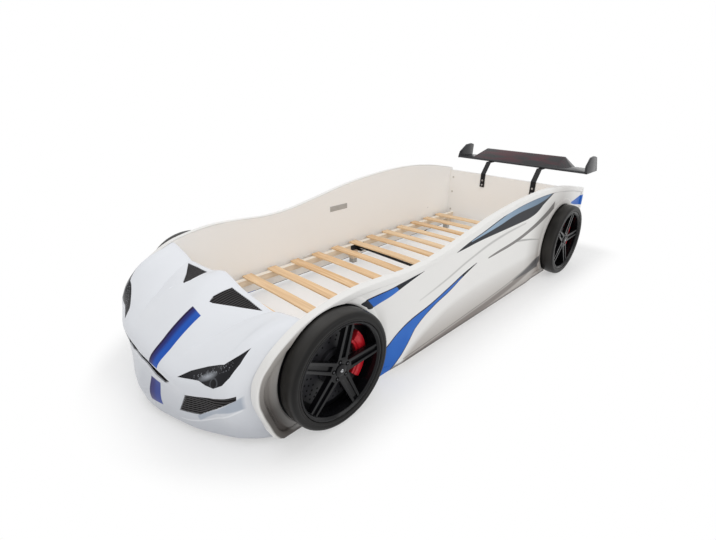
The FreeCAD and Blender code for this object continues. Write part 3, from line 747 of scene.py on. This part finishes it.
def headlamps():
    """Lamp inserts, just below the face of the nose."""
    lamps = nose_sheet("headlamp_lenses", LAMP_SINK, LAMP_WALL, "lamp_plastic")
    carve(lamps, "INTERSECT", front_prism(both_sides(shrunk(LAMP, EDGE_GAP))))
    clean(lamps.data, 30, False)
    dress(lamps, "lamp_plastic", "headlamp_left", "headlamp_right")


def strips(first, step, count, width, run):
    """Strips side by side, as flat outlines: each has a width and a run, given as directions."""
    outlines = []
    for i in range(count):
        near = Vector(first) + Vector(step) * i
        far = near + Vector(run)
        outlines.append([tuple(p) for p in (near, near + Vector(width), far + Vector(width), far)])
    return outlines


def grille(name, hole, blade_strips, make_prism, *replaced):
    """Dark floor of an opening, with blades that reach nearly to the face of the nose."""
    floor = nose_sheet(name, GRILLE_SINK, GRILLE_WALL, "dark_plastic")
    carve(floor, "INTERSECT", make_prism(both_sides(shrunk(hole, EDGE_GAP))))
    blades = nose_sheet(name + "_blades", BLADE_SINK, BLADE_WALL, "dark_plastic")
    carve(blades, "INTERSECT", make_prism(both_sides(shrunk(hole, BLADE_GAP))),
          make_prism([strip for pair in map(both_sides, blade_strips) for strip in pair]))
    with edited(floor.data) as work:
        work.from_mesh(blades.data)
    bpy.data.objects.remove(blades)
    clean(floor.data, 25, False)
    dress(floor, "dark_plastic", *replaced)


front_shell()
headlamps()
grille("bonnet_louvres", VENT, strips((84, -160), (10.5, 0), 19, (4.5, 0), (6, 150)), plan_prism,
       "bonnet_vent_left", "bonnet_vent_right")
grille("duct_louvres", DUCT, strips((170, 70), (0, 9.5), 14, (0, 4.5), (300, 60)), front_prism,
       "bumper_duct_left", "bumper_duct_right")


# ----- tyres and wheels
TYRE_STEPS = 112


def named(*starts):
    """CAD nodes whose names start so."""
    return [name for name in nodes if name.startswith(starts)]


def tyres():
    """Turned tyres: rounded shoulders, a flat wall and a bead round the wheel."""
    half = [(482, 171), (482, 192), (484, 197), (489, 200.5), (500, 202.6), (516, 203.4), (532, 203),
            (541, 201.2), (546.5, 198), (549.8, 193.5), (551, 188), (550.2, 182), (549.6, 180.5), (550, 179),
            (550, 174.5), (548.8, 172.2), (546.5, 170.9), (543, 170.4)]
    n = len(half)
    corners, faces = [], []
    for side in (1, -1):
        for axle in AXLES:
            first = len(corners)
            for i in range(TYRE_STEPS):
                turn = 2 * math.pi * i / TYRE_STEPS
                along, up = math.cos(turn) / 1000, math.sin(turn) / 1000
                corners += [(side * x / 1000, axle + r * along, AXLE_Z + r * up) for x, r in half]
                a, b = first + i * n, first + (i + 1) % TYRE_STEPS * n
                faces += [(a + j, a + (j + 1) % n, b + (j + 1) % n, b + j) for j in range(n)]
    obj = mesh_object("turned_tyres", corners, faces, "tyre_plastic")
    clean(obj.data, 32)
    dress(obj, "tyre_plastic", *named("tyre_"))


def soften_edges(obj, bevel):
    """Small bevels on hard edges."""
    tool = obj.modifiers.new("soft_edges", "BEVEL")
    tool.width = bevel
    tool.segments = 2
    settle(obj)


def softened(name, slot, replaced, sharp, bevel=0.0):
    """Merged copy of CAD pieces, smooth where they are round, with small bevels on hard edges."""
    corners, faces = [], []
    for node in replaced:
        first = len(corners)
        corners += [tuple(v.co) for v in nodes[node].data.vertices]
        faces += [tuple(first + i for i in f.vertices) for f in nodes[node].data.polygons]
    obj = mesh_object(name, corners, faces, slot)
    with edited(obj.data) as work:
        bmesh.ops.remove_doubles(work, verts=work.verts, dist=MERGE)
        bmesh.ops.dissolve_limit(work, angle_limit=math.radians(0.5), verts=work.verts, edges=work.edges)
    if bevel:
        soften_edges(obj, bevel)
    shade(obj.data, sharp)
    dress(obj, slot, *replaced)


# ----- side skins
DRUM_STEPS = 128
OUTLINE_STEP = 14
WHEEL_OPENING, BOLT_HOLE = 206.5, 4.4


def even_line(points, step):
    """Smooth line through the points, as points about the same distance apart."""
    along = np.cumsum([0] + [math.dist(a, b) for a, b in zip(points, points[1:])])
    fine = eased(points, along, 24)
    reach = np.concatenate([[0], np.cumsum(np.linalg.norm(np.diff(fine, axis=0), axis=1))])
    wanted = np.linspace(0, reach[-1], int(reach[-1] / step) + 2)
    return np.stack([np.interp(wanted, reach, fine[:, i]) for i in (0, 1)], axis=1)


def side_line():
    """Outline of the side, in millimetres along the car and up."""
    sweep = [(AXLES[0] * 1000 + y, z) for y, z in NOSE_SWEEP]
    sweep += [(SLAT_MIDDLE_Y + y, z) for y, z in WAIST_SWEEP]
    sweep += [(HEAD_Y + y, z) for y, z in TAIL_SWEEP]
    over = even_line(sweep, OUTLINE_STEP)
    back = even_line([(HEAD_Y + y, z) for y, z in TAIL_END], OUTLINE_STEP)
    return np.concatenate([over, back[1:]])


def grown(line, distance):
    """The closed outline moved outwards, keeping its straight runs parallel."""
    before = line - np.roll(line, 1, axis=0)
    after = np.roll(line, -1, axis=0) - line
    before /= np.linalg.norm(before, axis=1, keepdims=True)
    after /= np.linalg.norm(after, axis=1, keepdims=True)
    out = np.stack([-(before + after)[:, 1], (before + after)[:, 0]], axis=1)
    size = np.linalg.norm(out, axis=1, keepdims=True)
    return line + out / size * distance / np.maximum(0.5, size / 2)


def stack(name, rings, slot, loop=False):
    """Closed shape through rings of the same number of corners, in millimetres."""
    n = len(rings[0])
    corners = [tuple(c / 1000 for c in corner) for ring in rings for corner in ring]
    faces = []
    for k in range(len(rings) - (0 if loop else 1)):
        this, following = k * n, (k + 1) % len(rings) * n
        faces += [(this + i, this + (i + 1) % n, following + (i + 1) % n, following + i) for i in range(n)]
    if not loop:
        faces += [tuple(range(n))[::-1], tuple(range((len(rings) - 1) * n, len(rings) * n))]
    obj = mesh_object(name, corners, faces, slot)
    clean(obj.data, 30)
    return obj


def drum(profile, axle, loop=False):
    """Round shape about an axle through (place along the width, radius) points."""
    turns = [2 * math.pi * i / DRUM_STEPS for i in range(DRUM_STEPS)]
    y, z = axle * 1000, AXLE_Z * 1000
    rings = [[(x, y + r * math.cos(t), z + r * math.sin(t)) for t in turns] for x, r in profile]
    return stack("drum", rings, "side_plastic", loop)


def lipped_sheet(line):
    """The sheet itself, through rings round the outline: growth of the outline and place in x."""
    section = [(0.3, 478), (0.3, 460), (3, 460), (3, 485), (2.6, 487), (1.6, 488.6), (0, 489.6),
               (-2, 490), (-19, 490), (-21.5, 489.3), (-23, 487.8), (-24, 485.5), (-25.2, 483.4),
               (-27.5, 482.3), (-31, 482)]
    rings = [[(x, y, z) for y, z in grown(line, grow)] for grow, x in section]
    return stack("side_skin_sheets", rings, "side_plastic")


def wheel_ring(line, axle):
    """Raised ring round a wheel, as far as it lies inside the lip."""
    ring = drum([(480.5, WHEEL_OPENING), (484.4, WHEEL_OPENING), (485.8, 208.5), (486, 212), (486, 226),
                 (485.4, 230), (483.8, 233), (482.2, 235.5), (480.5, 236)], axle, True)
    inside = [[(x, y, z) for y, z in grown(line, -2.5)] for x in (470, 500)]
    return carve(ring, "INTERSECT", stack("within", inside, "side_plastic"))


def flared_skirt():
    """Skirt between the wheels, which fades out at both ends."""
    ends = [(-689.5, 1.0), (-660, 4.5), (-620, 10.5), (-564.5, 15.0),
            (500.5, 15.0), (556, 10.5), (596, 4.5), (625.5, 1.0)]
    profile = [(0.80, 0), (0.93, 4), (1.0, 10), (1.0, 18), (0.86, 40), (0.60, 68), (0.30, 96), (0.03, 118)]
    rings = [[(480.5, y, 27)] + [(481 + flare * a, y, 27 + b) for a, b in profile] + [(480.5, y, 145)]
             for y, flare in ends]
    return stack("skirt", rings, "side_plastic")


def add_mirror_image(mesh):
    """The other side's skin in the same mesh, with its faces turned back outwards."""
    with edited(mesh) as work:
        twin = bmesh.ops.duplicate(work, geom=work.verts[:] + work.edges[:] + work.faces[:])["geom"]
        for corner in [g for g in twin if isinstance(g, bmesh.types.BMVert)]:
            corner.co.x = -corner.co.x
        bmesh.ops.reverse_faces(work, faces=[g for g in twin if isinstance(g, bmesh.types.BMFace)])


def side_skins():
    """Formed sheet over each side: rounded lip, rings round the wheels and the flared skirt."""
    line = side_line()
    skin = lipped_sheet(line)
    for axle in AXLES:
        carve(skin, "UNION", wheel_ring(line, axle))
    carve(skin, "UNION", flared_skirt())
    for axle in AXLES:
        carve(skin, "DIFFERENCE", drum([(482, WHEEL_OPENING), (530, WHEEL_OPENING)], axle))
        carve(skin, "DIFFERENCE", drum([(450, BOLT_HOLE), (530, BOLT_HOLE)], axle))
    add_mirror_image(skin.data)
    clean(skin.data, 32, False)
    dress(skin, "side_plastic", "side_skin_left", "side_skin_right")


tyres()
softened("wheel_castings", "rim_plastic", named("wheel_front", "wheel_rear"), 32, 0.0012)
softened("disc_rounds", "disc_plastic", named("brake_disc"), 30)
softened("caliper_blocks", "caliper_plastic", named("caliper"), 30, 0.002)
softened("hub_caps", "rim_plastic", ["wheel_caps"], 40)
side_skins()
softened("wing_moulding", "wing_plastic", ["wing_blade"], 30, 0.002)


# ----- bar and plate
def slab(name, slot, lo, hi, bevel, *replaced):
    """Plain bar between two corners in millimetres, with small bevels."""
    (x0, y0, z0), (x1, y1, z1) = lo, hi
    outline = [(x0, y0, z0), (x1, y0, z0), (x1, y1, z0), (x0, y1, z0)]
    obj = prism(name, [outline], (0, 0, z1 - z0), slot)
    soften_edges(obj, bevel)
    clean(obj.data, 40)
    dress(obj, slot, *replaced)
    return obj


TUBE_HALF = 6
slab("cross_tube", "black_steel", (-399, SLAT_MIDDLE_Y - TUBE_HALF, 112),
     (399, SLAT_MIDDLE_Y + TUBE_HALF, 112 + 2 * TUBE_HALF), 0.0015, "cross_bar")
wall_plate = slab("wall_plate", "cap_plastic", (0.1 - INNER_WALL_X, -99, 352), (1.3 - INNER_WALL_X, 35, 383),
                  0.0004)
wall_plate.data.materials[0] = plate_grey.material


# ----- wheel details
PIN_INPUTS = {"Count": "Int", "Ring Radius": "Float", "Pin Radius": "Float", "Pin Length": "Float",
              "Sides": "Int", "Turn": "Float", "Material": "Material"}


def ring_tree():
    """Geometry Nodes tree: a ring of short pins about the width, one ring at every point."""
    tree = bpy.data.node_groups.new("ring_of_pins", "GeometryNodeTree")
    tree.interface.new_socket("Geometry", in_out="INPUT", socket_type="NodeSocketGeometry")
    names = [tree.interface.new_socket(label, in_out="INPUT", socket_type="NodeSocket" + kind).identifier
             for label, kind in PIN_INPUTS.items()]
    tree.interface.new_socket("Geometry", in_out="OUTPUT", socket_type="NodeSocketGeometry")
    add = tree.nodes.new
    given, result = add("NodeGroupInput"), add("NodeGroupOutput")
    circle, pin = add("GeometryNodeMeshCircle"), add("GeometryNodeMeshCylinder")
    around_ring, on_axles = add("GeometryNodeInstanceOnPoints"), add("GeometryNodeInstanceOnPoints")
    spin, tilt, turn = add("GeometryNodeTransform"), add("GeometryNodeTransform"), add("ShaderNodeCombineXYZ")
    realize, paint = add("GeometryNodeRealizeInstances"), add("GeometryNodeSetMaterial")
    flat = add("GeometryNodeSetShadeSmooth")
    flat.inputs["Shade Smooth"].default_value = False
    tilt.inputs["Rotation"].default_value = (0.0, math.pi / 2, 0.0)
    for label, node, socket in (("Count", circle, "Vertices"), ("Ring Radius", circle, "Radius"),
                                ("Sides", pin, "Vertices"), ("Pin Radius", pin, "Radius"),
                                ("Pin Length", pin, "Depth"), ("Turn", turn, "Z"),
                                ("Geometry", on_axles, "Points"), ("Material", paint, "Material")):
        tree.links.new(given.outputs[label], node.inputs[socket])
    for source, node, socket in ((circle, around_ring, "Points"), (pin, around_ring, "Instance"),
                                 (around_ring, spin, "Geometry"), (turn, spin, "Rotation"),
                                 (spin, tilt, "Geometry"), (tilt, on_axles, "Instance"),
                                 (on_axles, realize, "Geometry"), (realize, flat, "Geometry"),
                                 (flat, paint, "Geometry"), (paint, result, "Geometry")):
        tree.links.new(source.outputs[0], node.inputs[socket])
    return tree, names


pin_tree, pin_names = ring_tree()


def pins(name, slot, place, paint, *rings):
    """Rings of pins on all four wheels, at a place along the width, as one piece."""
    points = [(side * place / 1000, axle, AXLE_Z) for side in (1, -1) for axle in AXLES]
    whole = mesh_object(name, [], [], slot)
    whole.data.materials[0] = paint.material
    with edited(whole.data) as work:
        for ring in rings:
            obj = mesh_object(name + "_ring", points, [], slot)
            tool = obj.modifiers.new("ring", "NODES")
            tool.node_group = pin_tree
            for pin_name, value in zip(pin_names, (*ring, paint.material)):
                tool[pin_name] = value
            work.from_mesh(settle(obj).data)
            bpy.data.objects.remove(obj)
    dress(whole, slot)


# Places along the width in millimetres. Rings in metres and radians, in the order of PIN_INPUTS.
HUB_FACE, CAP_FACE, DISC_FACE = 531.8, 536.6, 489.1
LUG_COUNT, LUG_RING = 5, 0.031
LUG_TURN = math.radians(5 + 180 / LUG_COUNT)
DRILL_RADIUS, DRILL_DEPTH = 0.0034, 0.0006
DRILL_RINGS = [(30, 0.128, 0.0), (30, 0.115, 0.10), (24, 0.102, 0.05), (20, 0.088, 0.12)]
# Painted shadow: black discs where the lug wells are.
pins("lug_well_shadows", "rim_plastic", HUB_FACE, well_shadow_black, (LUG_COUNT, LUG_RING, 0.0074, 0.0018, 14, LUG_TURN))
pins("lug_nuts", "screw_steel", HUB_FACE + 0.8, lug_grey, (LUG_COUNT, LUG_RING, 0.0034, 0.0016, 6, LUG_TURN))
pins("cap_glint", "screw_steel", CAP_FACE, glint_chrome, (3, 0.0024, 0.0036, 0.0016, 12, 0.5))
# Painted shade: black discs where the brake discs are drilled.
pins("disc_drilling_shadows", "disc_plastic", DISC_FACE, drilling_shadow_black,
     *[(count, radius, DRILL_RADIUS, DRILL_DEPTH, 10, turn) for count, radius, turn in DRILL_RINGS])


# ----- floor, light and camera
WORLD_LIGHT = 0.55
WHITE = (1.0, 1.0, 1.0, 1.0)


def seen_rays(tree):
    """1 for rays that show the background: from the camera, off gloss or through glass."""
    seen = tree.nodes.new("ShaderNodeLightPath").outputs
    share = seen["Is Camera Ray"]
    for kind in ("Is Glossy Ray", "Is Transmission Ray"):
        either = tree.nodes.new("ShaderNodeMath")
        either.operation = "MAXIMUM"
        tree.links.new(share, either.inputs[0])
        tree.links.new(seen[kind], either.inputs[1])
        share = either.outputs[0]
    return share


def make_floor():
    """Pale paper that keeps the shadow near the bed and is plain white further out."""
    mesh = bpy.data.meshes.new("studio_floor")
    mesh.from_pydata([(-30, -30, 0), (30, -30, 0), (30, 30, 0), (-30, 30, 0)], [], [(0, 1, 2, 3)])
    s = Shader("studio_paper", (0.96, 0.96, 0.96), rough=0.75)
    taper = (-0.95 - s.y).high(0.0)
    out_x = (abs(s.x) - 0.55 + taper * taper * 1.3).high(0.0)
    out_y = (abs(s.y) - 1.37).high(0.0)
    far = ((out_x * out_x + out_y * out_y).root() / 0.20).clip()
    share = (far * far * (3.0 - far * 2.0) * 0.55 + 0.45) * Socket(s, seen_rays(s.tree))
    white = s.add("ShaderNodeEmission", {}, {"Color": WHITE, "Strength": 1.0})
    mix = s.add("ShaderNodeMixShader", {}, {0: share})
    s.tree.links.new(s.skin.outputs[0], mix.inputs[1])
    s.tree.links.new(white.outputs[0], mix.inputs[2])
    s.tree.links.new(mix.outputs[0], s.tree.nodes["Material Output"].inputs["Surface"])
    mesh.materials.append(s.material)
    return placed("studio_floor", mesh)


def white_backdrop():
    """White where the background is seen, an even pale light everywhere else."""
    world = bpy.data.worlds.new("studio_world")
    bpy.context.scene.world = world
    world.use_nodes = True
    tree = world.node_tree
    light = tree.nodes["Background"]
    seen = tree.nodes.new("ShaderNodeBackground")
    for node, strength in ((light, WORLD_LIGHT), (seen, 1.0)):
        node.inputs["Color"].default_value = WHITE
        node.inputs["Strength"].default_value = strength
    mix = tree.nodes.new("ShaderNodeMixShader")
    tree.links.new(seen_rays(tree), mix.inputs[0])
    tree.links.new(light.outputs[0], mix.inputs[1])
    tree.links.new(seen.outputs[0], mix.inputs[2])
    tree.links.new(mix.outputs[0], tree.nodes["World Output"].inputs["Surface"])


def softbox(name, place, size, power):
    """Square soft lamp that looks at the bed."""
    light = bpy.data.lights.new(name, "AREA")
    light.shape = "RECTANGLE"
    light.size, light.size_y = size
    light.energy = power
    obj = placed(name, light)
    obj.location = place
    obj.rotation_euler = (Vector((0, 0, 0.2)) - Vector(place)).to_track_quat("-Z", "Y").to_euler()


CAMERA_PLACE = (1.3362, -1.6373, 1.0225)
CAMERA_ANGLES = (45.45, 23.73, 0.36)
SENSOR_WIDTH = 36.0
PHOTO_WIDTH, FOCAL_PIXELS = 716, 417.71


def make_camera():
    """Camera at the photograph's place, off the front left-hand corner."""
    azimuth, elevation, roll = (math.radians(a) for a in CAMERA_ANGLES)
    back = Vector((math.sin(azimuth) * math.cos(elevation), -math.cos(azimuth) * math.cos(elevation),
                   math.sin(elevation)))
    right = (-back).cross(Vector((0, 0, 1))).normalized()
    up = back.cross(right)
    right, up = (math.cos(roll) * right + math.sin(roll) * up,
                 -math.sin(roll) * right + math.cos(roll) * up)
    data = bpy.data.cameras.new("photo_camera")
    data.sensor_width = SENSOR_WIDTH
    data.lens = SENSOR_WIDTH * FOCAL_PIXELS / PHOTO_WIDTH
    camera = placed("photo_camera", data)
    rows = [[right[i], up[i], back[i], place] for i, place in enumerate(CAMERA_PLACE)]
    camera.matrix_world = Matrix(rows + [[0, 0, 0, 1]])
    bpy.context.scene.camera = camera


make_floor()
white_backdrop()
softbox("softbox_top", (-0.8, -0.6, 3.4), (3.4, 3.8), 44.0)
softbox("softbox_front", (1.6, -3.2, 2.0), (2.4, 1.8), 10.0)
softbox("softbox_side", (3.4, 0.6, 2.3), (3.0, 2.0), 34.0)
make_camera()
bpy.context.scene.view_settings.view_transform = "Standard"
